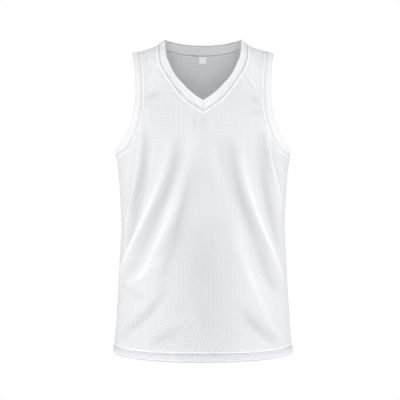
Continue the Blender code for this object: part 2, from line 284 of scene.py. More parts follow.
def bell(seen, path, halfWidth, skew):
    # a bell curve across a path, wider on its outer side by skew, fading as a sine to both its ends
    start, leg = path[:-1], np.diff(path, axis=0)
    square = (leg**2).sum(1)
    offset = seen[..., None, :] - start
    t = np.clip((offset * leg).sum(-1) / square, 0, 1)
    offset = offset - t[..., None] * leg
    away = (offset**2).sum(-1)
    nearest = away.argmin(-1)[..., None]
    run = runAlong(path)
    along = run[nearest] + np.take_along_axis(t, nearest, -1) * np.sqrt(square[nearest])
    aside = np.take_along_axis(offset[..., 0], nearest, -1)[..., 0] * np.sign(path[-1, 0] - path[0, 0])
    away = np.sqrt(np.take_along_axis(away, nearest, -1)[..., 0]) / halfWidth
    away = away / (1 + skew * np.tanh(aside / halfWidth))
    fade = np.sin(math.pi * np.clip(along[..., 0] / run[-1], 0, 1))
    return np.exp(-(away**2)) * np.maximum(fade, 0) ** 0.6


def foldLift(half, around, base):
    # how far the cloth stands off the form: bells across the long folds, whose angles grow as a power
    # of their fall, and across the short straight wrinkles
    lift = np.zeros(base.shape[:-1])
    seen = np.stack([around * foldRadius, base[..., 2]], -1)
    t = np.linspace(0, 1, 17)[:, None]
    for topAngle, topHeight, footAngle, footHeight, halfWidth, depth in longFolds[half]:
        angle = topAngle + (footAngle - topAngle) * t**foldBow
        path = np.hstack([np.radians(angle) * foldRadius, topHeight + (footHeight - topHeight) * t])
        lift += depth * bell(seen, path, halfWidth, foldSkew)
    seen = base[..., (0, 2)]
    for *path, halfWidth, depth in shortWrinkles[half]:
        lift += depth * bell(seen, np.array(path).reshape(2, 2), halfWidth, 0.0)
    return lift


def onForm(half, places, lift=0.0):
    # a point of the form, moved along its normal by the folds and by lift
    base = form(half, *places)
    return base + outward(half, *places) * (foldLift(half, places[0], base) + lift)[..., None]


# painted shade and highlight: the fold and seam heights at which the cloth's colour reaches its full
# shade in a trough or its full light on a ridge
hollowShade = {"ridge": 0.020, "trough": 0.0145, "sewing": 0.0034}  # heights for the full shade


def paintedShadeAt(half, places, relief=0.0):
    # how far a place lies down in a fold or seam: 0 on a ridge, 0.5 on the form, 1 in a trough; this
    # value paints shade into the colour of troughs and seam dips, and a painted highlight onto ridges
    fold = foldLift(half, places[0], form(half, *places))
    fold = fold / np.where(fold > 0, hollowShade["ridge"], hollowShade["trough"])
    return np.clip(0.5 - fold - relief / hollowShade["sewing"], 0, 1)


def trace(half, outline, fractions):
    # a smooth curve through an outline's points, at fractions of its length. It runs straight over
    # the shoulder, the side and the centre back, and comes to a point only at the front's V
    around, down = locate(*outline.T)
    before = [-around[1], down[1]]
    if around[0] > 1:
        before = [math.pi - around[1], down[1]]
    elif half == front:
        before = [2 * around[0] - around[1], 2 * down[0] - down[1]]
    knots = np.array([before, *np.stack([around, down], 1), [around[-2], -down[-2]]])
    t = np.linspace(0, 1, 41)[:-1, None, None]
    a, b, c, d = knots[:-3], knots[1:-2], knots[2:-1], knots[3:]
    fine = (-t + 2 * t**2 - t**3) * a + (2 - 5 * t**2 + 3 * t**3) * b
    fine = (fine + (t + 4 * t**2 - 3 * t**3) * c + (t**3 - t**2) * d) / 2
    fine = np.concatenate([fine.transpose(1, 0, 2).reshape(-1, 2), knots[-2:-1]])
    run = runAlong(form(half, *fine.T))
    return np.stack([np.interp(fractions * run[-1], run, fine[:, i]) for i in (0, 1)])


def runAlong(points):
    # the distance covered from the first point of each line to each of its points
    steps = np.linalg.norm(np.diff(points, axis=-2), axis=-1)
    return np.concatenate([np.zeros_like(steps[..., :1]), np.cumsum(steps, axis=-1)], axis=-1)


def seamLength(half, outlines):
    # the length of an opening's seam over the form, from the centre or the underarm to the shoulder
    return runAlong(form(half, *trace(half, outlines[half][:, 2:], np.linspace(0, 1, 200))))[-1]


def graded(length, usual, nearStart=(), nearEnd=()):
    # stations from 0 to length: given distances at each end, and even steps in between
    first = np.array([0.0, *nearStart])
    last = length - np.array([0.0, *nearEnd])[::-1]
    count = max(2, round((last[0] - first[-1]) / usual))
    return np.concatenate([first[:-1], np.linspace(first[-1], last[0], count + 1), last[1:]])


def besideCurve(points, curve):
    # each point's distance to a line of short legs, and how far along the line its foot is
    flat = points.reshape(-1, 3)
    start, leg = curve[:-1], np.diff(curve, axis=0)
    square = (leg**2).sum(1)
    reach = flat @ leg.T - (start * leg).sum(1)
    t = np.clip(reach / square, 0, 1)
    away = (flat**2).sum(1)[:, None] + (start**2).sum(1) - 2 * flat @ start.T
    away = np.maximum(away + t * (t * square - 2 * reach), 0)
    nearest = away.argmin(1)
    rows = np.arange(len(flat))
    along = runAlong(curve)[nearest] + t[rows, nearest] * np.sqrt(square[nearest])
    return np.sqrt(away[rows, nearest]).reshape(points.shape[:-1]), along.reshape(points.shape[:-1])


def cutMap(half):
    # the flat place of each place on the form: its distance round from the centre line, and its
    # distance up from the hem, both measured over the form
    around = np.linspace(0, math.pi / 2, 121)
    down = np.linspace(0, 1, 241)
    points = form(half, *np.meshgrid(around, down))
    across = runAlong(points)
    fromTop = runAlong(points.transpose(1, 0, 2)).T
    return around, down, across, fromTop[-1] - fromTop


def cutPlace(cut, places):
    # cutMap's tables read between their entries
    around, down, across, up = cut
    i = np.clip(np.abs(places[0]) / around[1], 0, len(around) - 1.001)
    j = np.clip(places[1] / down[1], 0, len(down) - 1.001)
    i0, j0 = i.astype(int), j.astype(int)
    i, j = i - i0, j - j0
    mixed = [
        (1 - j) * ((1 - i) * t[j0, i0] + i * t[j0, i0 + 1])
        + j * ((1 - i) * t[j0 + 1, i0] + i * t[j0 + 1, i0 + 1])
        for t in (across, up)
    ]
    return np.stack([np.sign(places[0]) * mixed[0], mixed[1]], -1)


def surface(name, grids, material, ring=False):
    # a mesh from grids of (points, flat places, cores, painted shade): each four neighbours make a face
    # that looks away from its core, and grids that meet are merged. A ring's rows close on themselves
    corners, coords, flats, paintedShades, offset = [], [], [], [], 0
    for points, flat, core, paintedShade in grids:
        rows, cols = points.shape[:2]
        index = np.arange(rows * cols).reshape(rows, cols)
        if ring:
            index = np.concatenate([index, index[:, :1]], axis=1)
        quads = np.stack([index[:-1, :-1], index[1:, :-1], index[1:, 1:], index[:-1, 1:]], -1)
        quads = quads.reshape(-1, 4)
        corner = points.reshape(-1, 3)[quads]
        facing = np.cross(corner[:, 1] - corner[:, 0], corner[:, 3] - corner[:, 0])
        middle = np.broadcast_to(core, points.shape).reshape(-1, 3)[quads[:, 0]]
        if (facing * (corner[:, 0] - middle)).sum() < 0:
            quads = quads[:, ::-1]
        corners.append(quads + offset)
        coords.append(points.reshape(-1, 3))
        flats.append(flat.reshape(-1, 2))
        paintedShades.append(np.broadcast_to(paintedShade, (rows, cols)).ravel())
        offset += rows * cols
    corners, coords, flats = np.concatenate(corners), np.concatenate(coords), np.concatenate(flats)
    mesh = bpy.data.meshes.new(name)
    mesh.vertices.add(len(coords))
    mesh.vertices.foreach_set("co", coords.ravel())
    mesh.loops.add(corners.size)
    mesh.loops.foreach_set("vertex_index", corners.ravel())
    mesh.polygons.add(len(corners))
    mesh.polygons.foreach_set("loop_start", np.arange(0, corners.size, 4))
    layer = mesh.uv_layers.new(name="cut")
    layer.uv.foreach_set("vector", flats[corners.ravel()].ravel())
    # the painted shade value, kept on each point for the materials
    shade = mesh.attributes.new("paintedShade", "FLOAT", "POINT")
    shade.data.foreach_set("value", np.concatenate(paintedShades).astype(np.float32))
    mesh.update(calc_edges=True)
    bm = bmesh.new()
    bm.from_mesh(mesh)
    bmesh.ops.remove_doubles(bm, verts=bm.verts, dist=1e-5)
    bm.to_mesh(mesh)
    bm.free()
    mesh.shade_smooth()
    mesh.materials.append(material)
    piece = bpy.data.objects.new(name, mesh)
    bpy.context.scene.collection.objects.link(piece)
    return piece


def onModel(piece, node):
    # every piece rides on the one body and stands for its own CAD node
    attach(piece, "root")
    if node:
        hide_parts(node)
    return piece


class Socket:
    # one output of a shader tree; the operators put Math nodes behind it
    def __init__(self, tree, output=None):
        self.tree, self.output = tree, output

    def node(self, kind, settings=None, values=None, output=0):
        # any node: its settings first, then the values or links of its named or numbered sockets
        made = self.tree.nodes.new("ShaderNode" + kind)
        for key, value in (settings or {}).items():
            setattr(made, key, value)
        for key, value in (values or {}).items():
            if isinstance(value, Socket):
                self.tree.links.new(value.output, made.inputs[key])
            else:
                made.inputs[key].default_value = value
        return Socket(self.tree, made.outputs[output])

    def maths(self, operation, *others, clamp=False):
        # a Math node on this value and the others
        settings = {"operation": operation, "use_clamp": clamp}
        return self.node("Math", settings, dict(enumerate((self, *others))))

    def __add__(self, other): return self.maths("ADD", other)
    def __radd__(self, other): return self.maths("ADD", other)
    def __sub__(self, other): return self.maths("SUBTRACT", other)
    def __rsub__(self, other): return self.node("Math", {"operation": "SUBTRACT"}, {0: other, 1: self})
    def __mul__(self, other): return self.maths("MULTIPLY", other)
    def __rmul__(self, other): return self.maths("MULTIPLY", other)
    def __truediv__(self, other): return self.maths("DIVIDE", other)
    def __pow__(self, other): return self.maths("POWER", other)

    def step(self, low, high):
        # 0 up to low, 1 from high on, and a smooth rise between
        return self.node("MapRange", {"interpolation_type": "SMOOTHSTEP"},
                         {"Value": self, "From Min": low, "From Max": high})

    def noise(self, scale, detail=2.0):
        # soft clouds read at this place
        return self.node("TexNoise", None, {"Vector": self, "Scale": scale, "Detail": detail})

    def axes(self):
        # a place's x, y and z
        return [self.node("SeparateXYZ", None, {0: self}, i) for i in range(3)]

    def scaled(self, factor):
        # a colour times a value
        return self.node("VectorMath", {"operation": "SCALE"}, {0: self, "Scale": factor})

    def tint(self, first, second):
        # this value mixes two colours
        return self.node("Mix", {"data_type": "RGBA"}, {0: self, 6: (*first, 1), 7: (*second, 1)}, 2)


def newMaterial(name, **fixed):
    # a Principled material with its constants set, and a way to start its patterns
    material = bpy.data.materials.new(name)
    material.use_nodes = True
    shader = material.node_tree.nodes["Principled BSDF"]
    for key, value in fixed.items():
        shader.inputs[key.replace("_", " ")].default_value = value
    return material, shader, Socket(material.node_tree)


def finishMaterial(start, shader, colour, roughness, height, depth):
    # the changing inputs: colour, roughness, and a bump of the given depth in metres
    bump = start.node("Bump", None, {"Height": height, "Distance": depth, "Strength": 1.0})
    for key, value in (("Base Color", colour), ("Roughness", roughness), ("Normal", bump)):
        start.tree.links.new(value.output, shader.inputs[key])


meshLook = {
    # painted highlight on ridges and painted shade in troughs and seam dips: the cloth's colour runs
    # between these two by the painted shade value
    "paintedRidgeLight": (0.862, 0.865, 0.884),
    "paintedHollowShade": (0.585, 0.588, 0.608),
    # painted shade in the eyelets, which are not cut through: their darker colour stands for the shade
    # seen through them, full from eyeletFrom on and fading towards a ridge
    "eyeletShade": 0.72,
    "eyeletFrom": 0.4,  # from this hollow on they are fully dark; towards a ridge they pale
    "roughness": 0.70,
    "across": 0.0060,  # between eyelets in a row
    "up": 0.0064,  # between every second row; the rows between are moved half way across
    "eyeletHalf": 0.00120,  # half an eyelet's width
    "eyeletTall": 1.25,  # its height, in widths
    "eyeletSoft": (0.4, 1.4),  # where its edge starts and ends, in half widths
    "depth": 0.00035,
    "wales": 0.0010,  # between the knit's upright ribs
    "courses": 0.0008,
    "ribHeight": 0.07,  # heights as shares of the depth
    "courseHeight": 0.05,
    "cloudHeight": 0.15,
    "cloudScale": 9.0,
    "mottle": 0.2,  # how far the clouds shift the hollows' shade
}


def meshKnit():
    # eyelets on a staggered lattice over fine upright ribs and courses, in the cloth's flat places
    material, shader, start = newMaterial("eyelet mesh", Sheen_Weight=0.04, Sheen_Roughness=0.5,
                                          Specular_IOR_Level=0.25)
    place = start.node("UVMap", {"uv_map": "cut"})
    x, y, _ = place.axes()
    holes = None
    edge = [meshLook["eyeletHalf"] * share for share in meshLook["eyeletSoft"]]
    for shift in (0.0, 0.5):
        dx = (x / meshLook["across"] + shift).maths("FRACT") - 0.5
        dy = (y / meshLook["up"] + shift).maths("FRACT") - 0.5
        tall = dy * (meshLook["up"] / meshLook["eyeletTall"])
        far = ((dx * meshLook["across"]) ** 2 + tall**2) ** 0.5
        hole = 1 - far.step(*edge)
        holes = hole if holes is None else holes.maths("MAXIMUM", hole)
    ribs = (x * (2 * math.pi / meshLook["wales"])).maths("SINE")
    rows = (y * (2 * math.pi / meshLook["courses"])).maths("SINE")
    cloudy = place.noise(meshLook["cloudScale"], 3.0)
    paintedShade = start.node("Attribute", {"attribute_name": "paintedShade"}, None, 2)
    holes = holes * paintedShade.step(0.0, meshLook["eyeletFrom"])
    paintedShade = (paintedShade + (cloudy - 0.5) * meshLook["mottle"]).maths("ADD", 0.0, clamp=True)
    # painted shade in troughs and seam dips, painted highlight on ridges
    colour = paintedShade.tint(meshLook["paintedRidgeLight"], meshLook["paintedHollowShade"])
    # painted shade in each eyelet
    colour = colour.scaled(1 - holes * (1 - meshLook["eyeletShade"]))
    roughness = holes * 0.10 + cloudy * 0.08 + meshLook["roughness"]
    height = (1 - holes) + ribs * meshLook["ribHeight"] + rows * meshLook["courseHeight"]
    height = height + cloudy * meshLook["cloudHeight"]
    finishMaterial(start, shader, colour, roughness, height, meshLook["depth"])
    return material


bandKnitLook = {
    # painted highlight on the band's ridges and painted shade in its troughs, seams and turned edge
    "paintedRidgeLight": (0.825, 0.827, 0.843),
    "paintedHollowShade": (0.490, 0.493, 0.507),
    "hollowFrom": 0.04,  # a hollow below this keeps the ridge's colour; the rest darkens as its square
    "roughness": 0.63,
    "wales": 0.0014,
    "courses": 0.0011,
    "depth": 0.00022,
    "cloudScale": 22.0,
}


def bandKnit():
    # a closer knit: fine ribs across the band and finer courses along it
    material, shader, start = newMaterial("band knit", Sheen_Weight=0.04, Sheen_Roughness=0.5,
                                          Specular_IOR_Level=0.25)
    place = start.node("UVMap", {"uv_map": "cut"})
    x, y, _ = place.axes()
    ribs = (x * (2 * math.pi / bandKnitLook["wales"])).maths("SINE") * 0.5 + 0.5
    rows = (y * (2 * math.pi / bandKnitLook["courses"])).maths("SINE") * 0.5 + 0.5
    cloudy = place.noise(bandKnitLook["cloudScale"], 3.0)
    height = ribs * 0.7 + rows * 0.3 + cloudy * 0.5
    paintedShade = start.node("Attribute", {"attribute_name": "paintedShade"}, None, 2)
    paintedShade = (paintedShade - bandKnitLook["hollowFrom"]) ** 2
    # painted shade: darker in troughs, seams and on the turned edge, and a little darker between the
    # ribs; the clouds add random tone
    colour = (paintedShade + (1 - ribs) * 0.05 + (cloudy - 0.5) * 0.1).maths("ADD", 0.0, clamp=True)
    colour = colour.tint(bandKnitLook["paintedRidgeLight"], bandKnitLook["paintedHollowShade"])
    roughness = cloudy * 0.10 + bandKnitLook["roughness"]
    finishMaterial(start, shader, colour, roughness, height, bandKnitLook["depth"])
    return material


labelLook = {
    "colour": (0.94, 0.94, 0.95),
    # painted shade between the weft lines, where the weave dips
    "weftGapShade": (0.86, 0.86, 0.88),  # between the weft lines
    "roughness": 0.45,
    "weft": 0.00055,
    "warp": 0.00040,
    "depth": 0.00010,
}


def labelWeave():
    # a satin weave: close weft lines, broken by the finer warp
    material, shader, start = newMaterial("label weave", Sheen_Weight=0.1, Specular_IOR_Level=0.45)
    place = start.node("UVMap", {"uv_map": "cut"})
    x, y, _ = place.axes()
    weft = (y * (2 * math.pi / labelLook["weft"])).maths("SINE") * 0.5 + 0.5
    warp = (x * (2 * math.pi / labelLook["warp"])).maths("SINE") * 0.5 + 0.5
    height = weft * 0.7 + warp * 0.3
    # painted shade where the weave is low
    colour = ((1 - height) * 0.6).tint(labelLook["colour"], labelLook["weftGapShade"])
    roughness = weft * 0.1 + labelLook["roughness"]
    finishMaterial(start, shader, colour, roughness, height, labelLook["depth"])
    return material


threadLook = {
    # painted shade: the white thread's colour is darkened for the shadow of the groove it lies in; the
    # twist lines are darker still
    "colour": (0.76, 0.765, 0.78),
    "shade": (0.60, 0.605, 0.62),
    "roughness": 0.5,
    "twist": 0.0006,  # between the twist's lines
    "depth": 0.00006,
}


def threadMaterial():
    # polyester thread: a slanted twist line along each stitch, in a colour darkened as painted shade
    material, shader, start = newMaterial("sewing thread", Sheen_Weight=0.1, Specular_IOR_Level=0.5)
    place = start.node("TexCoord", None, None, 3)
    x, y, z = place.axes()
    twist = ((x + y + z) * (2 * math.pi / threadLook["twist"])).maths("SINE") * 0.5 + 0.5
    colour = (twist * 0.5).tint(threadLook["colour"], threadLook["shade"])
    roughness = twist * 0.1 + threadLook["roughness"]
    finishMaterial(start, shader, colour, roughness, twist, threadLook["depth"])
    return material


panel = {
    "wall": 0.0016,
    "usualStep": 0.0039,  # the grid's usual spacing; it is closer beside every seam
    "usualRow": 0.27,  # the length of row that fixes how many stations every row has
    "besideSeam": (0.0006, 0.0012, 0.0019, 0.0027, 0.0037, 0.0049, 0.0064, 0.0084, 0.0110),
    "besideCentre": (0.0012, 0.0028, 0.0050),
    "besideChest": (0.0015, 0.0032, 0.0052),
    "offShoulder": 0.0008,  # how far down the form the top row keeps from the shoulder line
    front: {"name": "front_panel", "chestShare": 0.36},  # how much of the armhole lies below the neck
    back: {"name": "back_panel", "chestShare": 0.80},
}
hem = {"depth": 0.0195, "stations": 110}
sewing = {  # how a panel lies beside its seams
    "sink": 0.0010,  # the cloth turns in at the seam
    "sinkWidth": 0.0010,
    "ridge": 0.0015,  # and stands up over the folded allowance
    "ridgeAway": 0.0031,
    "ridgeWidth": 0.0019,
    # the valley also darkens the colour beside these seams as painted shade
    "valley": 0.0022,  # the side and shoulder seams draw the cloth in further
    "valleyWidth": 0.0150,
    "pucker": 0.00035,
    "puckerReach": 0.010,
    "puckerWaves": ((0.0113, 1.0, 1.0), (0.0187, 1.0, 2.1), (0.0071, 0.8, 3.3)),  # length, size, turn
    "puckerSwell": 0.083,  # length over which the waves come and go
}


def besideSeam(away, ridge=1.0):
    # the panel's height near a seam: a dip at the seam, then a low ridge over the allowance
    dip = -sewing["sink"] * np.exp(-((away / sewing["sinkWidth"]) ** 2))
    bank = sewing["ridge"] * np.exp(-(((away - sewing["ridgeAway"]) / sewing["ridgeWidth"]) ** 2))
    return dip + ridge * bank


def pucker(away, along, phase):
    # three sine waves along a seam, which come and go slowly and die out away from it as a bell
    wave = sum(size * np.sin(along * 2 * math.pi / length + turn * phase)
               for length, size, turn in sewing["puckerWaves"])
    swell = 0.5 + 0.5 * np.sin(along * 2 * math.pi / sewing["puckerSwell"] + 1.7 * phase)
    return sewing["pucker"] / 2 * wave * swell * np.exp(-((away / sewing["puckerReach"]) ** 2))


def panelPlaces(half):
    # places on half a panel, row by row from the hem's seam to the shoulder: each row runs from the
    # centre line or the neckline to the side or the armhole, closer together at both ends
    seam, usual = panel["besideSeam"], panel["usualStep"]
    foot = figure["hem"] + hem["depth"]
    underarm, neckFoot = armholes[half][0][3], necklines[half][0][3]
    share = panel[half]["chestShare"]
    body = foot + graded(underarm - foot, usual, seam, panel["besideChest"])
    chest = underarm + graded(neckFoot - underarm, usual, panel["besideChest"], seam)
    up = (chest - underarm) / (neckFoot - underarm)
    topLength = seamLength(half, armholes) * (1 - share)
    top = graded(topLength, usual * 0.9, (), seam) / topLength
    centre = np.concatenate([body[:-1], chest[:-1]])
    neckline = trace(half, necklines[half][:, 2:], top)
    up = np.concatenate([share * up[:-1], share + (1 - share) * top])
    armhole = trace(half, armholes[half][:, 2:], up)
    side = locate(np.full_like(body, nan), body)
    inner = np.concatenate([locate(np.zeros_like(centre), centre), neckline], axis=1)
    outer = np.concatenate([side[:, :-1], armhole], axis=1)
    inner[1] = np.maximum(inner[1], panel["offShoulder"])
    outer[1] = np.maximum(outer[1], panel["offShoulder"])
    fine = np.linspace(0, 1, 181)
    places = inner[:, :, None] + (outer - inner)[:, :, None] * fine
    run = runAlong(form(half, *places))
    length = run[:, -1:]
    reference = graded(panel["usualRow"], usual, panel["besideCentre"], seam)
    first = len(panel["besideCentre"]) + 1
    last = len(seam) + 1
    middle = len(reference) - first - last
    begin = np.broadcast_to(reference[:first], (len(length), first))
    end = length - (panel["usualRow"] - reference[-last:])
    between = np.linspace(0, 1, middle + 2)[1:-1]
    between = begin[:, -1:] + (end[:, :1] - begin[:, -1:]) * between
    stations = np.concatenate([begin, between, end], axis=1) / length
    lane = 2.0 * np.arange(len(length))[:, None]
    share = np.interp((stations + lane).ravel(), (run / length + lane).ravel(),
                      np.broadcast_to(fine, run.shape).ravel()).reshape(stations.shape)
    return inner[:, :, None] + (outer - inner)[:, :, None] * share


def panelRelief(half, places, side):
    # the height that the sewing adds: beside the hem, the side, the shoulder, the neck and the armhole
    base = form(half, *places)
    fractions = np.linspace(0, 1, 161)
    foot = figure["hem"] + hem["depth"]
    heights = np.linspace(foot, armholes[half][0][3], 120)
    hemLine = np.stack([np.linspace(0, math.pi / 2, 120), np.full(120, locate(0.0, foot)[1])])
    neckEnd, armEnd = necklines[half][-1][2], armholes[half][-1][2]
    shoulder = locate(np.linspace(neckEnd, armEnd, 30), np.full(30, nan))
    lines = [  # each seam, and how much of the ridge and of the valley it has
        (trace(half, necklines[half][:, 2:], fractions), 1.0, 0),
        (trace(half, armholes[half][:, 2:], fractions), 1.1, 0),
        (hemLine, 1.0, 0),
        (locate(np.full(120, nan), heights), 0.5, 1),
        (shoulder, 0.5, 1),
    ]
    lift = np.zeros(base.shape[:-1])
    for i, (line, ridge, valley) in enumerate(lines):
        away, along = besideCurve(base, form(half, *line))
        lift += besideSeam(away, ridge) + pucker(away, side * along, 1.3 * i + half)
        lift -= valley * sewing["valley"] * np.exp(-((away / sewing["valleyWidth"]) ** 2))
    # this height also sets painted shade in the seam dips and the side and shoulder valleys, through
    # the painted shade value
    return lift


def makePanel(half, material):
    # two matched grids, one each side, from places on the form and the sewing's relief
    places, cut = panelPlaces(half), cutMap(half)
    grids = []
    for side in (left, right):
        sided = np.stack([side * places[0], places[1]])
        relief = panelRelief(half, places, side)
        points = onForm(half, sided, relief)
        # the last entry is the painted shade value: darker in troughs and seam dips, lighter on ridges
        grids.append((points, cutPlace(cut, sided), points * (0, 0, 1), paintedShadeAt(half, sided, relief)))
    piece = surface(panel[half]["name"] + "_cloth", grids, material)
    wall = piece.modifiers.new("cloth", "SOLIDIFY")
    wall.thickness = panel["wall"]
    wall.offset = -1
    return onModel(piece, panel[half]["name"])


band = {
    "wall": 0.0024,
    "proud": 0.0004,
    "usualStep": 0.0026,
    "besideSeam": (0.0004, 0.0008),
    "closeStep": 0.0006,  # the section's spacing from the seam over the stitches
    "closeReach": 0.0075,
    "besideMitre": (0.0003, 0.0006, 0.0010, 0.0015, 0.0022, 0.0032, 0.0044),
    "crown": 0.0006,  # how far the folded band swells
    "rim": 0.0010,  # how far its folded edge stands up
    "rimAway": 0.0036,
    "rimWidth": 0.0018,
    # painted shade along the turned edge: it darkens the colour only and does not move the cloth
    "edgeShade": 0.0030,  # the turned edge is shaded as a hollow of this depth
    "edgeWidth": 0.0022,
    "sink": 0.0007,
    "sinkWidth": 0.0010,
    "stitchAway": 0.0040,  # the row of stitches, from the seam
    "stitchSink": 0.0010,
    "stitchWidth": 0.0010,
    "mitre": 0.0008,  # depth of the mitre's line at the V
    "mitreWidth": 0.0009,
}


def bandSection(width):
    # the band's own section: distance from its folded edge and height, out over the top from the
    # seam, round the fold as a half circle, and back along the inside; and the relief that sets its
    # painted shade, bells for the seam, the stitches and the rim, with painted shade along the turned
    # edge
    radius = band["wall"] / 2
    nearSeam = width - graded(band["closeReach"], band["closeStep"], band["besideSeam"])
    rest = np.linspace(0, 1, 10)[1:-1]
    onward = nearSeam[..., -1:] + (radius - nearSeam[..., -1:]) * rest
    topRun = np.concatenate([nearSeam, onward], axis=-1)
    turn = np.broadcast_to(np.linspace(0, math.pi, 9), (*width.shape[:-1], 9))
    under = radius + (width - radius) * np.linspace(0, 1, 14)[1:]
    distance = np.concatenate([topRun, radius - radius * np.sin(turn), under], axis=-1)
    away = width - topRun
    relief = band["rim"] * np.exp(-(((topRun - band["rimAway"]) / band["rimWidth"]) ** 2))
    relief = relief - band["sink"] * np.exp(-((away / band["sinkWidth"]) ** 2))
    row = (away - band["stitchAway"]) / band["stitchWidth"]
    relief = relief - band["stitchSink"] * np.exp(-(row**2))
    crown = band["crown"] * np.sin(math.pi * np.clip(topRun / width, 0, 1)) ** 0.8
    high = np.concatenate([
        band["proud"] + crown + relief,
        band["proud"] - radius + radius * np.cos(turn),
        np.full_like(under, band["proud"] - band["wall"]),
    ], axis=-1)
    # painted shade along the turned edge, in the colour only
    edge = band["edgeShade"] * np.exp(-((distance / band["edgeWidth"]) ** 2))
    relief = np.concatenate([relief, 0 * turn, 0 * under], axis=-1) - edge
    return distance, high, relief


def bandStrip(half, side, outline, fractions, mitre=False):
    # a quarter of a band: its section carried along the opening, from the centre or the underarm to
    # the shoulder
    edge, seam = trace(half, outline[:, :2], fractions), trace(half, outline[:, 2:], fractions)
    width = np.linalg.norm(form(half, *edge) - form(half, *seam), axis=-1)[:, None]
    distance, high, relief = bandSection(width)
    places = edge[:, :, None] + (seam - edge)[:, :, None] * (distance / width)
    middle = form(half, *(edge + seam) * 0.5)
    run = runAlong(middle)
    if mitre:
        line = np.exp(-((form(half, *places)[..., 0] / band["mitreWidth"]) ** 2)) * (high > 0)
        high, relief = high - band["mitre"] * line, relief - band["mitre"] * line
    away = np.abs(width - distance)
    high = high + pucker(away, side * run[:, None] + 0 * away, 0.7 + half) * 0.5
    places = np.stack([side * places[0], places[1]])
    points = onForm(half, places, high)
    flat = np.stack([side * run[:, None] + 0 * distance, distance], -1)
    # the last entry is the painted shade value
    return points, flat, points.mean(axis=1, keepdims=True), paintedShadeAt(half, places, relief)


def makeNeckband(material):
    # four quarters of band, with closer stations beside the mitre at the V
    print("neckband")
    grids = []
    for half in (front, back):
        long = seamLength(half, necklines)
        near = band["besideMitre"] if half == front else ()
        fractions = graded(long, band["usualStep"], near) / long
        for side in (left, right):
            grids.append(bandStrip(half, side, necklines[half], fractions, half == front))
    piece = surface("neckband_cloth", grids, material, ring=True)
    return onModel(piece, "neckband")


def makeArmband(name, side, material):
    # two quarters of band, from the underarm up the front and up the back
    print(name)
    grids = []
    for half in (front, back):
        long = seamLength(half, armholes)
        fractions = graded(long, band["usualStep"]) / long
        grids.append(bandStrip(half, side, armholes[half], fractions))
    piece = surface(name + "_cloth", grids, material, ring=True)
    return onModel(piece, name)


def makeHem(material):
    # the hem's section, as a band's, carried round the body
    print("hem")
    grids = []
    foot = figure["hem"]
    for half in (front, back):
        around = np.linspace(0, math.pi / 2, hem["stations"])
        width = np.full((len(around), 1), hem["depth"])
        distance, high, relief = bandSection(width)
        down = locate(np.zeros_like(distance), foot + distance)[1]
        cut = cutMap(half)
        for side in (left, right):
            places = np.stack([side * around[:, None] + 0 * distance, down])
            points = onForm(half, places, high)
            flat = cutPlace(cut, places)
            core = points.mean(axis=1, keepdims=True)
            # the last entry is the painted shade value, with the turned edge's painted shade
            grids.append((points, flat, core, paintedShadeAt(half, places, relief)))
    piece = surface("hem_cloth", grids, material, ring=True)
    return onModel(piece, "hem_band")


label = {
    "thick": 0.0009,
    "curl": 0.0022,  # how far the lower end stands off
    "cornerCurl": 0.35,  # how much less its corners do
    "clear": 0.0012,
    "selvedge": 0.25,  # how much thicker the woven edges are
    "selvedgeWidth": 0.0012,
}


def makeLabel(material):
    # a loop of tape: front layer, round fold at the foot, back layer, as one closed section
    print("label")
    low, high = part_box("neck_label")
    half = (high[0] - low[0]) / 2
    across = np.linspace(-half, half, 25)
    radius = label["thick"] / 2
    drop = high[2] - low[2]
    down = np.linspace(0, drop - radius, 18)
    turn = np.linspace(0, math.pi, 7)[1:-1]
    fall = np.concatenate([down, drop - radius + radius * np.sin(turn), down[::-1]])
    layer = np.concatenate([0 * down + radius, radius * np.cos(turn), 0 * down - radius])
    breadth, fallen = np.meshgrid(across, fall)
    places = locate(breadth, high[2] - fallen)
    curl = label["curl"] * (fallen / drop) ** 2 * (1 - label["cornerCurl"] * (breadth / half) ** 2)
    inward = -panel["wall"] - label["clear"] - label["thick"] / 2 - curl
    fromEdge = (half - np.abs(breadth)) / label["selvedgeWidth"]
    edgeSwell = 1 + label["selvedge"] * np.exp(-(fromEdge**2))
    points = onForm(back, places, inward - layer[:, None] * edgeSwell).transpose(1, 0, 2)
    flat = np.stack([breadth, fallen], -1).transpose(1, 0, 2)
    core = points.mean(axis=1, keepdims=True)
    piece = surface("neck_label_tape", [(points, flat, core, 0.5)], material, ring=True)
    bm = bmesh.new()
    bm.from_mesh(piece.data)
    bmesh.ops.holes_fill(bm, edges=[e for e in bm.edges if e.is_boundary])
    bm.to_mesh(piece.data)
    bm.free()
    return onModel(piece, "neck_label")


stitches = {
    "pitch": 0.0030,
    "long": 0.0024,
    "radius": 0.00032,
    "sides": 6,
    "raised": 0.0004,  # off the bottom of the row's groove
    "slopeStep": 0.0005,  # half the step that measures a row's direction
    "rings": ((-0.5, 0.25, 0.9), (-0.32, 0.9, 0), (0.32, 0.9, 0), (0.5, 0.25, 0.9)),
    # place along the stitch in lengths, then radius and how far it dips, in radii
}


def rowsAt(at, run, rows):
    # rows of three numbers read at places between their own along a run
    return np.stack([np.interp(at, run, rows[:, k]) for k in range(3)], -1)


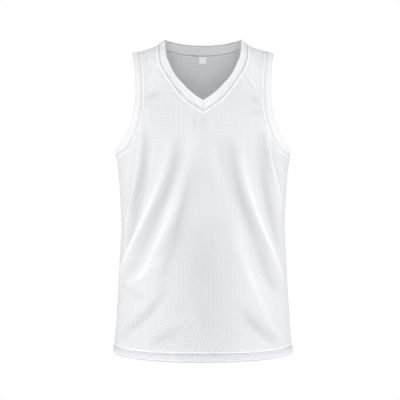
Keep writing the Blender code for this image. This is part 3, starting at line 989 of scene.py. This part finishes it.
def stitchRow(name, lines, material):
    # one small spindle for each stitch, carried along the lines of points and outward directions
    print(name)
    place, swell, dip = np.array(stitches["rings"]).T
    sides, count = stitches["sides"], len(place)
    turn = np.arange(sides) * 2 * math.pi / sides
    spindle = np.stack([
        np.repeat(place * stitches["long"], sides),
        np.outer(swell, np.cos(turn)).ravel() * stitches["radius"],
        (np.outer(swell, np.sin(turn)) - dip[:, None]).ravel() * stitches["radius"],
    ], -1)
    i = np.arange(count - 1)[:, None] * sides
    j = np.arange(sides)
    walls = np.stack([i + j, i + sides + j, i + sides + (j + 1) % sides, i + (j + 1) % sides], -1)
    verts, quads, offset = [], [], 0
    for points, normals in lines:
        run = runAlong(points)
        number = max(2, int(run[-1] / stitches["pitch"]))
        at = (np.arange(number) + 0.5) * run[-1] / number
        step = stitches["slopeStep"]
        spots, up = rowsAt(at, run, points), rowsAt(at, run, normals)
        along = rowsAt(at + step, run, points) - rowsAt(at - step, run, points)
        along /= np.linalg.norm(along, axis=-1, keepdims=True)
        across = np.cross(up, along)
        across /= np.linalg.norm(across, axis=-1, keepdims=True)
        up = np.cross(along, across)
        frames = np.stack([along, across, up], 1)
        verts.append((spots[:, None] + np.einsum("vk,nkc->nvc", spindle, frames)).reshape(-1, 3))
        base = np.arange(number)[:, None, None] * len(spindle) + offset
        quads.append((base + walls.reshape(1, -1, 4)).reshape(-1, 4))
        offset += number * len(spindle)
    verts, quads = np.concatenate(verts), np.concatenate(quads)
    data = bpy.data.meshes.new(name)
    data.from_pydata(verts.tolist(), [], quads.tolist())
    bm = bmesh.new()
    bm.from_mesh(data)
    bmesh.ops.holes_fill(bm, edges=[e for e in bm.edges if e.is_boundary], sides=0)
    bmesh.ops.recalc_face_normals(bm, faces=bm.faces)
    bm.to_mesh(data)
    bm.free()
    data.shade_smooth()
    data.materials.append(material)
    piece = bpy.data.objects.new(name, data)
    bpy.context.scene.collection.objects.link(piece)
    return onModel(piece, None)


def stitchLine(half, side, outline):
    # a line on the band, in the groove beside its seam, with the form's normals
    fractions = np.linspace(0, 1, 400)
    edge, seam = trace(half, outline[:, :2], fractions), trace(half, outline[:, 2:], fractions)
    width = np.linalg.norm(form(half, *edge) - form(half, *seam), axis=-1)
    places = seam + (edge - seam) * (band["stitchAway"] / width)
    places = np.stack([side * places[0], places[1]])
    lift = band["proud"] - band["stitchSink"] + stitches["raised"]
    return onForm(half, places, lift), outward(half, *places)


def bandStitches(name, outlines, sides, material):
    # the row of stitches along all of a band's quarters
    lines = [stitchLine(half, side, outlines[half]) for half in (front, back) for side in sides]
    return stitchRow(name, lines, material)


studio = {
    "floorHeight": -1.30,
    "floorRadius": 1.35,
    "floorColour": (0.80, 0.80, 0.80),
    # painted light: the floor's rim glows, so that it fades into the white surroundings
    "rimFrom": 0.3,  # share of the radius from which the floor fades to white
    "rimGlow": (0.7, 0.7, 0.7),
    "ambientBelow": 0.60,
    "ambientAbove": 0.50,
    "lamps": [  # name, azimuth, elevation, distance, size, watts
        ("left soft box", -80, 12, 2.4, 0.8, 22),
        ("right soft box", 80, 12, 2.4, 0.8, 22),
        ("low front fill", 0, -6, 2.4, 0.8, 20),
        ("front soft box", 0, 40, 2.4, 1.2, 9),
        ("top soft box", 0, 75, 2.2, 1.4, 4),
        ("back soft box", 180, 20, 2.6, 1.4, 20),
    ],
}


def makeStudio():
    # a round floor whose rim glows, painted light that fades it to white, disc lamps on spheres round
    # the jersey's middle, and white surroundings whose light grows or falls smoothly with height
    print("studio")
    scene = bpy.context.scene
    middle = (cadBox[0] + cadBox[1]) / 2
    count, rings = 96, 12
    turn = np.linspace(0, 2 * math.pi, count, endpoint=False)
    radius = np.linspace(0.0, studio["floorRadius"], rings)[:, None]
    points = np.stack([radius * np.cos(turn), radius * np.sin(turn), 0 * radius * turn], -1)
    points = points + (middle[0], middle[1], studio["floorHeight"])
    material, shader, start = newMaterial("studio floor", Roughness=0.85, Emission_Strength=1.0)
    place = start.node("TexCoord", None, None, 3)
    x, y, _ = place.axes()
    rim = (x * x + y * y) ** 0.5
    rim = rim.step(studio["floorRadius"] * studio["rimFrom"], studio["floorRadius"])
    glow = rim.tint((0, 0, 0), studio["rimGlow"])
    # painted light: the rim glows
    start.tree.links.new(glow.output, shader.inputs["Emission Color"])
    grain = place.noise(40.0)
    colour = grain.tint(studio["floorColour"], tuple(0.97 * c for c in studio["floorColour"]))
    start.tree.links.new(colour.output, shader.inputs["Base Color"])
    grid = (points, points[..., :2], points - (0, 0, 1), 0.5)
    floor = surface("studio_floor", [grid], material, ring=True)
    world = bpy.data.worlds.new("studio")
    world.use_nodes = True
    scene.world = world
    tree = world.node_tree
    glow = tree.nodes["Background"]
    glow.inputs["Color"].default_value = (1, 1, 1, 1)
    start = Socket(tree)
    seen = start.node("LightPath")
    upward = start.node("TexCoord").axes()[2].step(-0.25, 0.35)
    ambient = upward * (studio["ambientAbove"] - studio["ambientBelow"]) + studio["ambientBelow"]
    strength = seen + (1 - seen) * ambient
    tree.links.new(strength.output, glow.inputs["Strength"])
    for name, azimuth, elevation, distance, size, watts in studio["lamps"]:
        lamp = bpy.data.lights.new(name, "AREA")
        lamp.shape, lamp.size, lamp.energy = "DISK", size, watts
        turned, raised = math.radians(azimuth), math.radians(elevation)
        away = np.array((math.sin(turned) * math.cos(raised), -math.cos(turned) * math.cos(raised),
                         math.sin(raised)))
        soft = bpy.data.objects.new(name, lamp)
        soft.location = middle + type(middle)(away * distance)
        soft.rotation_euler = type(middle)(away).to_track_quat("Z", "Y").to_euler()
        scene.collection.objects.link(soft)
    scene.view_settings.view_transform = "Standard"


camera = {"across": -0.0072, "away": 2.1, "height": -0.294, "aim": -0.3807, "lens": 79.0}


def makeCamera():
    # in front of the jersey, tilted down to its aim
    seen = bpy.data.cameras.new("camera")
    seen.lens = camera["lens"]
    seen.sensor_width = 36.0
    placed = bpy.data.objects.new("camera", seen)
    placed.location = (camera["across"], -camera["away"], camera["height"])
    tilt = math.atan2(camera["height"] - camera["aim"], camera["away"])
    placed.rotation_euler = (math.pi / 2 - tilt, 0, 0)
    bpy.context.scene.collection.objects.link(placed)
    bpy.context.scene.camera = placed


makeCamera()
makeStudio()
print("cloth")
eyelets, bandCloth, weave, thread = meshKnit(), bandKnit(), labelWeave(), threadMaterial()
frontPanel = makePanel(front, eyelets)
backPanel = makePanel(back, eyelets)
neckband = makeNeckband(bandCloth)
armbandLeft = makeArmband("armband_left", left, bandCloth)
armbandRight = makeArmband("armband_right", right, bandCloth)
hemBand = makeHem(eyelets)
neckLabel = makeLabel(weave)

neckStitches = bandStitches("neckband_stitches", necklines, (left, right), thread)
armStitchesLeft = bandStitches("armband_stitches_left", armholes, (left,), thread)
armStitchesRight = bandStitches("armband_stitches_right", armholes, (right,), thread)

neckLong = 2 * (seamLength(front, necklines) + seamLength(back, necklines))
armLong = seamLength(front, armholes) + seamLength(back, armholes)
